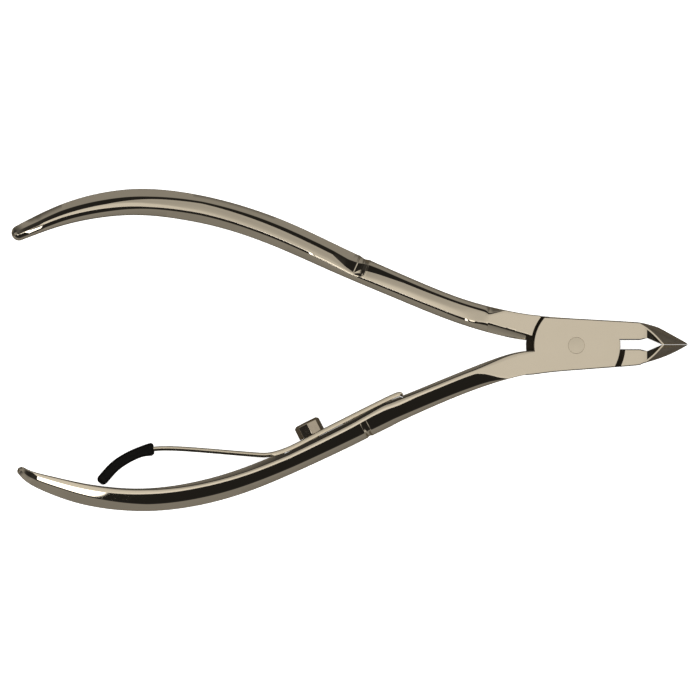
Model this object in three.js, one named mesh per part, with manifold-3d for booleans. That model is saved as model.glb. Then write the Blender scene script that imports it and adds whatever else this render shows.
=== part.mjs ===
// Cuticle nipper: two forged halves crossed in a riveted lap joint, with a leaf spring that a
// thumb screw holds on the lower handle.
// Millimetres. The nipper lies flat on z = 0 with its pivot on the Z axis and its jaws towards +X.
// The lower half is the lower handle (-Y), the top plate of the joint and the upper jaw (+Y).
// The upper half is the upper handle (+Y), the bottom plate and the lower jaw (-Y).

import * as THREE from "three";
import { mergeVertices } from "three/addons/utils/BufferGeometryUtils.js";
import Module from "manifold-3d";

const wasm = await Module();
wasm.setup();

// ---------------------------------------------------------------- driving dimensions
const THICKNESS = 5.4; // the whole joint, both plates together
const MID_Z = THICKNESS / 2;
const LAP_GAP = 0.06; // between the two plates
const CUT_GAP = 0.06; // between the closed cutting edges
const CUT_Y = 0.15; // the line that the jaws close on
const OVERSHOOT = 1; // how far a cutting tool runs past what it cuts
const BIG = 60; // side of a block that stands for half of space

// Joint: each plate ends in an arc about the pivot, beside a shoulder or a step of the other half.
const TOP_PLATE = { left: 7.6, right: 7.8 };
const BOTTOM_PLATE = { left: 8.8, right: 7.8 };
const TOP_RECESS = { left: 8.05, far: 9.1, right: 8.7 }; // in the upper half, above its plate
const BOTTOM_RECESS = { left: 9.1, far: 9.1, right: 8.7 }; // in the lower half, below its plate
const SHOULDER_END = THREE.MathUtils.degToRad(167.5); // where a recess widens to its far radius

// Rivet: a shank with a flush countersunk head at each face.
const RIVET = { headRadius: 1.45, shankRadius: 1.1, headDepth: 0.7, fit: 0.05 };

// Jaws: seen from above, the outer bevel runs from the rim to the toe, and a shallow hollow is
// ground inside the rim. Rim points are [x, height above the cutting line].
const JAW = {
  rim: [
    [10.9, 3.95],
    [12.6, 2.92],
    [13.6, 2.12],
    [15.35, 0.3],
  ],
  crestX: 12.7, // where the top starts to fall
  crestFall: THREE.MathUtils.degToRad(6),
  toeX: 20.05,
  toeZ: 0.8,
  land: 0.2, // between the rim and the hollow
  hollowFall: THREE.MathUtils.degToRad(21),
};
const SLOT = { waistX: 11.3, throatX: 12.6, halfWidth: 0.82, throat: 1.2 };

// Handles: centre line from the joint to the end, each station [x, y, width, depth].
const UPPER_HANDLE = [
  [-11, 3.6, 4.6, 5.2],
  [-20.3, 6.05, 4.35, 5.4],
  [-31, 10.3, 4.35, 5.4],
  [-41.6, 14.9, 4.6, 5.4],
  [-51.5, 19.4, 4.85, 5.4],
  [-61, 22.8, 4.8, 5.4],
  [-70, 24.8, 4.8, 5.4],
  [-78.5, 25.45, 4.6, 5],
  [-86.5, 24.45, 4.1, 4.4],
  [-93, 22.5, 3.4, 3.6],
  [-98.9, 19.95, 2.7, 2.7],
];
const LOWER_HANDLE = [
  [-11, -3.5, 4.2, 5.2],
  [-20.3, -6.7, 3.8, 5.4],
  [-31, -11.22, 3.96, 5.4],
  [-33.6, -12.36, 4.26, 5.4],
  [-37.3, -14.2, 4.24, 5.4],
  [-41.6, -16.45, 4.05, 5.4],
  [-51.5, -20.95, 4.2, 5.4],
  [-61, -24.65, 4.25, 5.4],
  [-70, -26.8, 4.15, 5.4],
  [-78.5, -27.4, 3.95, 5],
  [-86.5, -26.55, 3.7, 4.4],
  [-92.3, -25.05, 3.15, 3.5],
  [-96.4, -23.6, 2.3, 2.8],
  [-98.45, -22.28, 1.5, 2.2],
];
// Section of a handle as shares of its half width and half depth, one quarter of it.
const SECTION_QUARTER = [
  [1, 0.58],
  [0.42, 1],
];
const HANDLE_STEPS = 44;
const END_STEPS = 4; // rings of the rounded end
const RING = { width: 1.4, depth: 0.16, upperX: -38.5, lowerX: -37.3 };

// Spring: lies along the inside of the lower handle. The seat is where the screw's axis meets the
// handle; along the leaf is +t, and away from the handle is +n.
const SEAT = { x: -46.42, y: -16.6, angle: THREE.MathUtils.degToRad(26.9) };
const LEAF = { thickness: 0.8, width: 4, tipWidth: 3, holeRadius: 1.2 };
const LEAF_EDGE = 0.12; // share of the thickness cut off the edges of the leaf
const SEAT_GAP = 0.06; // between the leaf and the seat ground for it
const SEAT_SHARE = 0.48; // the share of the leaf's line that lies in the seat ground for it
// Centre line of the leaf in (t, n), from its lipped end to its tip in the sleeve.
const LEAF_LINE = [
  [17.05, -0.1],
  [16.7, 0.36],
  [12, 0.5],
  [5, 0.52],
  [0, 0.48],
  [-4.5, 0.48],
  [-8, 1],
  [-10.6, 2.25],
  [-15.8, 5.45],
  [-21.9, 9.15],
  [-26.2, 11.3],
  [-29.5, 12],
  [-33, 11.85],
  [-35.5, 11.1],
  [-37.3, 10.35],
];
const LEAF_STEPS = 60;
const LEAF_END = 0.965; // the share of the line where the leaf ends inside the sleeve
const POCKET_END = 0.975;
const SLEEVE = { start: 0.715, thickness: 1.9, mouth: 2.3, width: 4.3, clearance: 0.05, corner: 0.3 };
const MOUTH_END = 0.77; // the share of the line where the sleeve's wider mouth ends

// Thumb screw: octagonal head on a plain shank in a blind bore of the handle.
const SCREW = {
  turn: THREE.MathUtils.degToRad(3), // of its flats, as tightened
  headRadius: 2.4,
  headHeight: 2.35,
  chamfer: 0.35,
  headBase: 1.03, // above the seat
  shankRadius: 1,
  shankLength: 2.6, // below the seat
  bore: 1.06,
  boreDepth: 2.9,
};

// ---------------------------------------------------------------- materials
const polishedNickel = new THREE.MeshStandardMaterial({
  color: 0xc9bda6,
  roughness: 0.08,
  metalness: 1,
});
const springSteel = new THREE.MeshStandardMaterial({
  color: 0xc4b8a0,
  roughness: 0.15,
  metalness: 1,
});
const screwNickel = new THREE.MeshStandardMaterial({
  color: 0xb0a690,
  roughness: 0.2,
  metalness: 1,
});
const blackRubber = new THREE.MeshStandardMaterial({
  color: 0x161615,
  roughness: 0.75,
  metalness: 0,
});

// ---------------------------------------------------------------- solids
// A closed geometry as a solid that can be joined and cut.
function solidOf(geometry) {
  const bare = geometry.clone();
  bare.deleteAttribute("normal");
  bare.deleteAttribute("uv");
  const merged = mergeVertices(bare, 1e-4);
  return new wasm.Manifold(
    new wasm.Mesh({
      numProp: 3,
      vertProperties: merged.attributes.position.array,
      triVerts: new Uint32Array(merged.index.array),
    }),
  );
}

// A solid as a named mesh with flat faces.
function meshOf(name, solid, material) {
  const { numProp, vertProperties, triVerts } = solid.getMesh();
  const positions = new Float32Array((vertProperties.length / numProp) * 3);
  for (let i = 0; i < positions.length / 3; i++) {
    positions.set(vertProperties.subarray(i * numProp, i * numProp + 3), i * 3);
  }
  const indexed = new THREE.BufferGeometry();
  indexed.setAttribute("position", new THREE.BufferAttribute(positions, 3));
  indexed.setIndex(new THREE.BufferAttribute(triVerts, 1));
  const geometry = indexed.toNonIndexed();
  geometry.computeVertexNormals();
  const mesh = new THREE.Mesh(geometry, material);
  mesh.name = name;
  return mesh;
}

// A flat outline raised from one height to another.
function plate(shape, low, high) {
  const options = { depth: high - low, bevelEnabled: false, curveSegments: 24 };
  return solidOf(new THREE.ExtrudeGeometry(shape, options).translate(0, 0, low));
}

// Closed rings of points joined into one skin, with a flat cap at each end.
function skin(rings) {
  const count = rings[0].length;
  const positions = rings.flat().flatMap((p) => [p.x, p.y, p.z]);
  const faces = [];
  for (let i = 0; i + 1 < rings.length; i++) {
    for (let j = 0; j < count; j++) {
      const a = i * count + j;
      const b = i * count + ((j + 1) % count);
      faces.push(a, b + count, b, a, a + count, b + count);
    }
  }
  const last = (rings.length - 1) * count;
  for (let j = 1; j + 1 < count; j++) {
    faces.push(0, j, j + 1, last, last + j + 1, last + j);
  }
  const geometry = new THREE.BufferGeometry();
  geometry.setAttribute("position", new THREE.Float32BufferAttribute(positions, 3));
  geometry.setIndex(faces);
  return solidOf(geometry);
}

// The half of space above the plane through three points.
function spaceAbove(a, b, c) {
  const normal = new THREE.Vector3()
    .subVectors(b, a)
    .cross(new THREE.Vector3().subVectors(c, a))
    .normalize();
  if (normal.z < 0) {
    normal.negate();
  }
  const block = new THREE.BoxGeometry(BIG, BIG, BIG).translate(0, 0, BIG / 2);
  const turn = new THREE.Quaternion().setFromUnitVectors(new THREE.Vector3(0, 0, 1), normal);
  return solidOf(block.applyQuaternion(turn).translate(a.x, a.y, a.z));
}

// A turned solid about the Z axis from its profile of [radius, z] points, closed on the axis.
function turned(profile, segments) {
  const points = profile.map(([radius, z]) => new THREE.Vector2(radius, z));
  return solidOf(new THREE.LatheGeometry(points, segments).rotateX(Math.PI / 2));
}

// ---------------------------------------------------------------- handles
// The whole section from its quarter, counter-clockwise, as shares of half width and half depth.
function handleSection() {
  const quarter = SECTION_QUARTER;
  const back = [...quarter].reverse();
  return [
    ...quarter,
    ...back.map(([u, v]) => [-u, v]),
    ...quarter.map(([u, v]) => [-u, -v]),
    ...back.map(([u, v]) => [u, -v]),
  ];
}

// How much the decorative ring takes off all round at this distance from its middle.
function ringCut(distance) {
  return Math.abs(distance) < RING.width / 2 ? RING.depth : 0;
}

// One tapering handle along its stations, with a ring groove and a rounded end.
function handle(stations, ringX) {
  const line = new THREE.SplineCurve(stations.map(([x, y]) => new THREE.Vector2(x, y)));
  const size = new THREE.SplineCurve(stations.map((s) => new THREE.Vector2(s[2], s[3])));
  const steps = [...Array(HANDLE_STEPS + 1).keys()].map((i) => i / HANDLE_STEPS);
  const ringMiddle = steps.reduce((best, s) =>
    Math.abs(line.getPoint(s).x - ringX) < Math.abs(line.getPoint(best).x - ringX) ? s : best,
  );
  const section = handleSection();

  function ring(centre, tangent, width, depth) {
    return section.map(([u, v]) => {
      const across = (u * width) / 2;
      return new THREE.Vector3(
        centre.x + tangent.y * across,
        centre.y - tangent.x * across,
        MID_Z + (v * depth) / 2,
      );
    });
  }

  function ringAt(s, cut) {
    const { x: width, y } = size.getPoint(s);
    const depth = Math.min(y, THICKNESS);
    return ring(line.getPoint(s), line.getTangent(s), width - 2 * cut, depth - 2 * cut);
  }

  const rings = [];
  for (const s of steps) {
    if (s === ringMiddle) {
      const half = RING.width / 2 / line.getLength();
      const edges = [-1.15, -0.85, 0.85, 1.15];
      edges.forEach((edge) => rings.push(ringAt(s + edge * half, ringCut((edge * RING.width) / 2))));
    } else {
      rings.push(ringAt(s, 0));
    }
  }
  const end = line.getPoint(1);
  const tangent = line.getTangent(1);
  const { x: width, y: depth } = size.getPoint(1);
  for (let i = 1; i <= END_STEPS; i++) {
    const angle = (i / (END_STEPS + 0.5)) * (Math.PI / 2);
    const centre = end.clone().addScaledVector(tangent, (width / 2) * Math.sin(angle));
    rings.push(ring(centre, tangent, width * Math.cos(angle), depth * Math.cos(angle)));
  }
  return skin(rings);
}

// ---------------------------------------------------------------- joint and jaws
// The outline of a head seen from above, for the half whose jaw is on the +Y side: handle root,
// plate and jaw. The edges are the outer ones of the plate and of the handle root.
function headOutline(edges, plateArcs) {
  const shape = new THREE.Shape();
  const { jawSide, rootSide, crotch } = edges;
  const inner = CUT_Y * edges.side + CUT_GAP / 2;
  const slotY = CUT_Y * edges.side + SLOT.halfWidth;
  const arcPoint = (radius, y, sign) => [sign * Math.sqrt(radius ** 2 - y ** 2), y];

  shape.moveTo(...crotch[0]);
  crotch.slice(1).forEach((p) => shape.lineTo(...p));
  const leftLow = arcPoint(plateArcs.left, crotch.at(-1)[1], -1);
  const leftHigh = arcPoint(plateArcs.left, jawSide[0][1], -1);
  shape.absarc(0, 0, plateArcs.left, angleOf(leftLow), angleOf(leftHigh), true);
  jawSide.slice(1).forEach((p) => shape.lineTo(...p));
  shape.lineTo(JAW.toeX, inner);
  shape.lineTo(JAW.rim.at(-1)[0], inner);
  shape.lineTo(SLOT.throatX, CUT_Y * edges.side + SLOT.throat);
  shape.lineTo(SLOT.waistX, slotY);
  const rightHigh = arcPoint(plateArcs.right, slotY, 1);
  const rightLow = arcPoint(plateArcs.right, rootSide[0][1], 1);
  shape.absarc(0, 0, plateArcs.right, angleOf(rightHigh), angleOf(rightLow), true);
  rootSide.slice(1).forEach((p) => shape.lineTo(...p));
  shape.closePath();
  return shape;
}

function angleOf([x, y]) {
  const angle = Math.atan2(y, x);
  return x < 0 && angle < 0 ? angle + 2 * Math.PI : angle;
}

// A disc about the pivot, with one radius on the jaw side and two on the handle side.
function lapDisc({ left, far, right }, low, high) {
  const shape = new THREE.Shape();
  shape.moveTo(0, -right);
  shape.absarc(0, 0, right, -Math.PI / 2, Math.PI / 2, false);
  shape.absarc(0, 0, left, Math.PI / 2, SHOULDER_END, false);
  shape.absarc(0, 0, far, SHOULDER_END, (3 * Math.PI) / 2, false);
  return plate(shape, low, high);
}

// What grinding takes off one jaw on top: the outer bevel, whose faces meet at the toe, the fall
// of the crest, and the hollow. The jaw is on the side (+1 or -1) of the cutting line.
function jawGrinding(side) {
  const at = (x, y, z) => new THREE.Vector3(x, CUT_Y + side * y, z);
  const { rim, crestX, crestFall, land, hollowFall } = JAW;
  const height = (x, fall) => THICKNESS - Math.max(0, x - crestX) * Math.tan(fall);
  const slope = (fall) =>
    spaceAbove(
      at(crestX, 0, THICKNESS),
      at(crestX, 1, THICKNESS),
      at(crestX + 1, 0, height(crestX + 1, fall)),
    );

  const toe = at(JAW.toeX, 0, JAW.toeZ);
  let ground = slope(crestFall);
  rim.slice(1).forEach(([x, y], i) => {
    const [x0, y0] = rim[i];
    ground = ground.add(spaceAbove(at(x0, y0, height(x0, crestFall)), at(x, y, height(x, crestFall)), toe));
  });

  const inside = new THREE.Shape();
  inside.moveTo(crestX - OVERSHOOT, CUT_Y - side * OVERSHOOT);
  const edge = rim.slice(1).map(([x, y]) => [x - land, CUT_Y + side * (y - land)]);
  edge.forEach((p) => inside.lineTo(...p));
  inside.lineTo(edge.at(-1)[0], CUT_Y - side * OVERSHOOT);
  const column = new THREE.ExtrudeGeometry(inside, { depth: THICKNESS + OVERSHOOT, bevelEnabled: false });
  return ground.add(slope(hollowFall).intersect(solidOf(column)));
}

// The space that the rivet needs in a plate, or the rivet itself with no fit.
function rivetSpace(fit) {
  const { headRadius, shankRadius, headDepth } = RIVET;
  return turned(
    [
      [0, -fit],
      [headRadius + fit, -fit],
      [shankRadius + fit, headDepth],
      [shankRadius + fit, THICKNESS - headDepth],
      [headRadius + fit, THICKNESS + fit],
      [0, THICKNESS + fit],
    ],
    32,
  );
}

// Outer edges of the heads, jaw on the +Y side; the upper half is turned over afterwards.
const LOWER_HEAD = {
  side: 1,
  jawSide: [
    [-5.9, 5.05],
    [1, 4.7],
    [8, 4.3],
    [11.4, 4.05],
    [13.4, 3.62],
    [15.2, 3.07],
    [17, 2.32],
    [18.7, 1.35],
  ],
  rootSide: [
    [6.8, -3.85],
    [1, -4.3],
    [-4.4, -4.75],
    [-9.7, -5.55],
    [-15, -6.6],
  ],
  crotch: [
    [-15, -2.75],
    [-12.6, -1.85],
    [-9.7, -1.4],
    [-7.4, -1.15],
  ],
};
const UPPER_HEAD = {
  side: -1,
  jawSide: [
    [-7, 4.75],
    [1, 4.3],
    [9.9, 3.62],
    [11.6, 3.3],
    [13.4, 2.76],
    [15.2, 2.2],
    [17, 1.5],
    [18.7, 0.65],
  ],
  rootSide: [
    [6.8, -4.3],
    [1, -4.7],
    [-5.9, -5.25],
    [-9.7, -5.85],
    [-15, -6.8],
  ],
  crotch: [
    [-15, -2.2],
    [-12, -1.6],
    [-9.6, -1.2],
    [-8.5, -0.4],
  ],
};

function lowerHalf() {
  const plateLow = MID_Z + LAP_GAP / 2;
  return plate(headOutline(LOWER_HEAD, TOP_PLATE), 0, THICKNESS)
    .add(handle(LOWER_HANDLE, RING.lowerX))
    .subtract(lapDisc(BOTTOM_RECESS, -OVERSHOOT, plateLow))
    .subtract(jawGrinding(1))
    .subtract(rivetSpace(RIVET.fit))
    .subtract(springSeat())
    .subtract(screwBore());
}

function upperHalf() {
  const plateHigh = MID_Z - LAP_GAP / 2;
  const turnedOver = new THREE.Shape(
    headOutline(UPPER_HEAD, BOTTOM_PLATE)
      .getPoints(24)
      .map((p) => new THREE.Vector2(p.x, -p.y)),
  );
  return plate(turnedOver, 0, THICKNESS)
    .add(handle(UPPER_HANDLE, RING.upperX))
    .subtract(lapDisc(TOP_RECESS, plateHigh, THICKNESS + OVERSHOOT))
    .subtract(jawGrinding(-1))
    .subtract(rivetSpace(RIVET.fit));
}

// ---------------------------------------------------------------- spring
// From the seat's own frame (t, n, z across) to the nipper's.
function seatMatrix() {
  const matrix = new THREE.Matrix4().makeRotationZ(SEAT.angle);
  return matrix.setPosition(SEAT.x, SEAT.y, MID_Z);
}

// A band along part of the leaf's line, from start to end as shares of it, in the seat's frame.
// Its corners are cut off by this share of its thickness.
function band(start, end, thicknessAt, widthAt, cornerShare) {
  const line = leafLine();
  const count = Math.round(LEAF_STEPS * (end - start));
  const rings = [];
  for (let i = 0; i <= count; i++) {
    const s = start + ((end - start) * i) / count;
    const centre = line.getPoint(s);
    const tangent = line.getTangent(s);
    const half = thicknessAt(s) / 2;
    const wide = widthAt(s) / 2;
    const cut = thicknessAt(s) * cornerShare;
    const side = [
      [half, wide - cut],
      [half - cut, wide],
      [cut - half, wide],
      [-half, wide - cut],
    ];
    const corners = [...side, ...side.map(([up, across]) => [-up, -across])];
    rings.push(
      corners.map(
        ([up, across]) =>
          new THREE.Vector3(centre.x + tangent.y * up, centre.y - tangent.x * up, across),
      ),
    );
  }
  return skin(rings);
}

function leafLine() {
  return new THREE.SplineCurve(LEAF_LINE.map(([t, n]) => new THREE.Vector2(t, n)));
}

function leafWidth(s) {
  return LEAF.width + (LEAF.tipWidth - LEAF.width) * THREE.MathUtils.smoothstep(s, 0.4, 0.75);
}

// What is ground off the handle so that the leaf lies against it, in the nipper's frame.
function springSeat() {
  const line = leafLine();
  const drop = LEAF.thickness / 2 + SEAT_GAP;
  const count = Math.round(LEAF_STEPS * SEAT_SHARE);
  const shape = new THREE.Shape();
  shape.moveTo(LEAF_LINE[0][0] + OVERSHOOT, SCREW.headBase);
  for (let i = 0; i <= count; i++) {
    const s = i / LEAF_STEPS;
    const { x: t, y: n } = line.getPoint(s);
    const tangent = line.getTangent(s);
    shape.lineTo(t - tangent.y * drop, n + tangent.x * drop);
  }
  shape.lineTo(line.getPoint(SEAT_SHARE).x, LEAF.width);
  shape.closePath();
  return plate(shape, -LEAF.width, LEAF.width).transform([...seatMatrix().elements]);
}

function leafSpring() {
  const hole = turned(
    [
      [0, -OVERSHOOT],
      [LEAF.holeRadius, -OVERSHOOT],
      [LEAF.holeRadius, SCREW.headBase + OVERSHOOT],
      [0, SCREW.headBase + OVERSHOOT],
    ],
    24,
  ).rotate([-90, 0, 0]);
  const leaf = band(0, LEAF_END, () => LEAF.thickness, leafWidth, LEAF_EDGE);
  return leaf.subtract(hole);
}

function springSleeve() {
  const { start, thickness, mouth, width, clearance, corner } = SLEEVE;
  const wall = (s) => mouth + (thickness - mouth) * THREE.MathUtils.smoothstep(s, start, MOUTH_END);
  const outer = band(start, 1, wall, () => width, corner);
  const pocket = band(
    start - 1 / LEAF_STEPS,
    POCKET_END,
    () => LEAF.thickness + 2 * clearance,
    (s) => leafWidth(s) + 2 * clearance,
    LEAF_EDGE,
  );
  return outer.subtract(pocket);
}

// ---------------------------------------------------------------- screw
// Profiles are turned about the screw's axis; the head is turned in eight flats.
function screwSolid() {
  const { headRadius, headHeight, headBase, chamfer, shankRadius, shankLength } = SCREW;
  const top = headBase + headHeight;
  const head = turned(
    [
      [0, headBase],
      [headRadius, headBase],
      [headRadius, top - chamfer],
      [headRadius - chamfer, top],
      [0, top],
    ],
    8,
  );
  const shank = turned(
    [
      [0, -shankLength],
      [shankRadius, -shankLength],
      [shankRadius, headBase + OVERSHOOT],
      [0, headBase + OVERSHOOT],
    ],
    24,
  );
  return head.add(shank);
}

// The blind bore for the screw, in the nipper's frame.
function screwBore() {
  const bore = new THREE.CylinderGeometry(SCREW.bore, SCREW.bore, SCREW.boreDepth * 2, 24);
  return solidOf(bore.applyMatrix4(seatMatrix()));
}

// ---------------------------------------------------------------- assembly
const group = new THREE.Group();
group.add(meshOf("lower_half", lowerHalf(), polishedNickel));
group.add(meshOf("upper_half", upperHalf(), polishedNickel));
group.add(meshOf("pivot_rivet", rivetSpace(0), polishedNickel));

const seat = new THREE.Group();
seat.applyMatrix4(seatMatrix());
seat.add(meshOf("leaf_spring", leafSpring(), springSteel));
seat.add(meshOf("spring_sleeve", springSleeve(), blackRubber));
const screw = meshOf("spring_screw", screwSolid(), screwNickel);
screw.rotation.set(-Math.PI / 2, 0, SCREW.turn);
seat.add(screw);
group.add(seat);

export default group;
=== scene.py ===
"""Cuticle nipper: fine surfaces, finishes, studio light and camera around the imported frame.

Shapes are worked out in millimetres in the nipper's frame and become metres as each mesh is made.
The lower half is the lower handle (-Y), the top plate of the joint and the upper jaw (+Y).
"""
import math

import bmesh
import bpy
import numpy as np
from mathutils import Matrix, Vector


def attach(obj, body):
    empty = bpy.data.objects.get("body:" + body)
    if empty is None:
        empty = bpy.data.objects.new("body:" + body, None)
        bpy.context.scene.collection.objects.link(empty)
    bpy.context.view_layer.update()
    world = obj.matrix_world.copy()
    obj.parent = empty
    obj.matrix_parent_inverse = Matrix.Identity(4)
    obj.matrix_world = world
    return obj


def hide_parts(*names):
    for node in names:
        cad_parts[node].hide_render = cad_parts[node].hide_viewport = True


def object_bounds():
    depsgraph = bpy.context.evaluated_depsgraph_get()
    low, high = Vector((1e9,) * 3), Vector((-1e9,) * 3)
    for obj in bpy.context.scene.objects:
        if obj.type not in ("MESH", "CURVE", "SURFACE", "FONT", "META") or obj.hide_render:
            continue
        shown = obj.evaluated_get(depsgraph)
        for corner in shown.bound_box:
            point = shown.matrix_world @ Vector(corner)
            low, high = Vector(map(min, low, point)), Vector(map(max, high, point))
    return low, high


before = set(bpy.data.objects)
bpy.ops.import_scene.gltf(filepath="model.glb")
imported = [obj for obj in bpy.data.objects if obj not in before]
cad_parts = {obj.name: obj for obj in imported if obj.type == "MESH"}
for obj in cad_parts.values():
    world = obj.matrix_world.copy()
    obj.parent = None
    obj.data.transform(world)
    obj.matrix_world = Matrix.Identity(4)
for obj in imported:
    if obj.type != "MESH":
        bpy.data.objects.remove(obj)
CAD_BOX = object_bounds()

# ---------------------------------------------------------------- driving dimensions
MM = 0.001
THICKNESS = 5.4
MID_Z = THICKNESS / 2
LAP_GAP = 0.06  # between the two plates of the joint
CUT_GAP = 0.06  # between the closed cutting edges
CUT_Y = 0.15  # where the cutting edges meet
OVERSHOOT = 1.0  # how far a cutter reaches past what it cuts
FAR = 40  # size of a cutter that has to pass the piece it cuts on every side
WELD = 0.0001 * MM  # points closer than this are one
LEG_SHARE = 0.48  # most of an outline's side that one rounded corner may take
LEAST_SPREAD = 0.4  # a sharp corner moves in no more than the inset divided by this
OUTLINE_STEP = 0.4
FILLET_STEPS = 6
EDGE = 0.17  # width of the broken edges of the heads
# A broken edge, from the face out to the wall: (inset, fall), as shares of its width.
EDGE_PROFILE = [(1.0, 0.0), (0.3, 0.38), (0.0, 0.98)]

# Radii about the pivot: on the right, on the left, and far, which is left beyond SHOULDER_END.
TOP_PLATE = {"left": 7.6, "right": 7.8}
BOTTOM_PLATE = {"left": 8.8, "right": 7.8}
TOP_RECESS = {"left": 8.05, "far": 9.1, "right": 8.7}
BOTTOM_RECESS = {"left": 9.1, "far": 9.1, "right": 8.7}
SHOULDER_END = math.radians(167.5)

RIVET = {
    "head": 1.45,
    "head_depth": 0.7,
    "shank": 1.1,
    "fit": 0.006,
    "edge": 0.025,
    "flat": 0.3,  # share of the head's radius that is flat
    "dome": 0.01,
}

JAW = {
    # Where the outer bevel starts, as (x, distance from the cutting line).
    "rim": [(10.9, 3.95), (11.7, 3.5), (12.6, 2.92), (13.6, 2.12), (14.5, 1.24), (15.35, 0.3)],
    "crest_x": 12.7,
    "crest_fall": math.radians(6),
    "toe_x": 20.05,
    "toe_z": 0.8,
    "rim_step": 0.5,
    "land": 0.26,
    "hollow_x": 11.7,
    "hollow_fall": math.radians(21),
    "hollow_radius": 3.0,
    "hollow_steps": 8,
    "hollow_lift": 0.002,  # keeps the start of the hollow off the flat beside it
    "hollow_reach": 10,
}
HOLLOW_MARGINS = (0.5, 0.05)  # of rim kept before the hollow and added past the rim's end
SLOT = {"waist_x": 11.3, "throat_x": 12.7, "half_width": 0.82, "throat": 1.2, "fillet": 0.6}
# Edge of the upper half's shoulder at the crotch, and its facets as (width, tilt in degrees).
SHOULDER = {
    "from": (-15.7, 4.03),
    "to": (-7.7, 1.69),
    "facets": [(0.34, 24), (1.0, 39)],
    "area": [(-15.7, 0.5), (-7.2, 0.5), (-7.2, 4.8), (-15.7, 4.8)],
}
RELIEF = 0.5  # depth of the groove ground into the corner of each recess
RELIEF_REACH = 0.1  # how far it reaches in past the end of the plate that turns there

# Centre lines of the handles: x, y, width, depth.
UPPER_LINE = [
    (-6.5, 3.1, 4.4, 5.4),
    (-11, 3.6, 4.6, 5.4),
    (-20.3, 6.05, 4.35, 5.4),
    (-31, 10.3, 4.35, 5.4),
    (-41.6, 14.9, 4.6, 5.4),
    (-51.5, 19.4, 4.85, 5.4),
    (-61, 22.8, 4.8, 5.4),
    (-70, 24.8, 4.8, 5.4),
    (-78.5, 25.45, 4.6, 5),
    (-86.5, 24.45, 4.1, 4.4),
    (-93, 22.5, 3.4, 3.7),
    (-98.9, 19.95, 2.7, 2),
]
LOWER_LINE = [
    (-6.5, -2.95, 3.9, 5.4),
    (-11, -3.5, 4.2, 5.4),
    (-20.3, -6.7, 3.8, 5.4),
    (-31, -11.18, 4.04, 5.4),
    (-33.6, -12.28, 4.42, 5.4),
    (-37.3, -14.2, 4.24, 5.4),
    (-41.6, -16.39, 4.17, 5.4),
    (-51.5, -20.95, 4.2, 5.4),
    (-61, -24.65, 4.25, 5.4),
    (-70, -26.8, 4.15, 5.4),
    (-78.5, -27.4, 3.95, 5),
    (-86.5, -26.55, 3.7, 4.4),
    (-92.3, -25.05, 3.15, 3.5),
    (-96.4, -23.6, 2.3, 2.8),
    (-98.45, -22.28, 1.5, 2.2),
]
# Facets of the handles, by x: where each edge between two facets lies, as a share of the half
# width, and the tilt of each facet in degrees; both lists run from the outside in.
UPPER_FACETS = [
    (-13.2, (0.985, 0.95, -0.6, -0.82), (41, 12, 0, -24, -38)),
    (-15.7, (0.45, 0.36, -0.34, -0.5), (41, 15, 0, -24, -38)),
    (-16.3, (0.64, 0.47, -0.36, -0.53), (41, 15, 1, -24, -38)),
    (-17.0, (0.66, 0.49, -0.41, -0.55), (41, 15, 1, -24, -38)),
    (-17.3, (0.66, 0.49, -0.42, -0.58), (41, 15, 1, -7.7, -38)),
    (-19.0, (0.66, 0.49, -0.46, -0.62), (41, 15, 1, -7.7, -41)),
    (-19.4, (0.66, 0.49, -0.46, -0.62), (41, 15, 1, -22, -41)),
    (-24, (0.66, 0.47, -0.42, -0.56), (41, 15, 1.3, -22, -41)),
    (-31, (0.65, 0.39, -0.45, -0.6), (41, 15, 1.5, -22, -41)),
    (-35.4, (0.66, 0.22, -0.49, -0.63), (41, 15, 2, -22, -41)),
    (-37.2, (0.62, 0.1, -0.52, -0.64), (41, 15, 2.5, -22, -41)),
    (-38.2, (0.58, 0.02, -0.52, -0.64), (41, 15, 2.5, -7.7, -41)),
    (-39.0, (0.42, -0.42, -0.56, -0.64), (41, 15, 2.5, -7.7, -41)),
    (-40.7, (0.36, -0.25, -0.5, -0.6), (41, 15, 2.5, -7.7, -41)),
    (-43.4, (0.47, 0.19, -0.42, -0.54), (41, 15, 3, -7.7, -41)),
    (-46.0, (0.5, 0.22, -0.4, -0.5), (41, 15, 3, -7.7, -41)),
    (-47.2, (0.5, 0.23, -0.37, -0.52), (41, 15, 3, -22, -41)),
    (-57.6, (0.54, 0.31, -0.34, -0.5), (41, 15, 3, -22, -41)),
    (-66.5, (0.55, 0.4, -0.3, -0.46), (41, 15, 2.5, -22, -41)),
    (-75.4, (0.41, 0.22, -0.37, -0.52), (41, 15, 2, -22, -41)),
    (-83.3, (0.37, 0.0, -0.33, -0.6), (41, 16, 0, -20, -40)),
    (-91.3, (0.38, -0.05, -0.27, -0.62), (41, 18, 0, -18, -40)),
    (-94.6, (0.3, -0.1, -0.3, -0.66), (41, 18, 0, -18, -40)),
    (-95.3, (0.28, -0.2, -0.58, -0.72), (41, 20, -8, -22, -41)),
    (-97.4, (0.28, -0.2, -0.58, -0.72), (41, 20, -9, -22, -41)),
    (-98.2, (0.28, -0.2, -0.58, -0.72), (41, 26, -20, -26, -41)),
    (-99, (0.28, -0.2, -0.58, -0.72), (41, 30, -24, -30, -41)),
]
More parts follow.
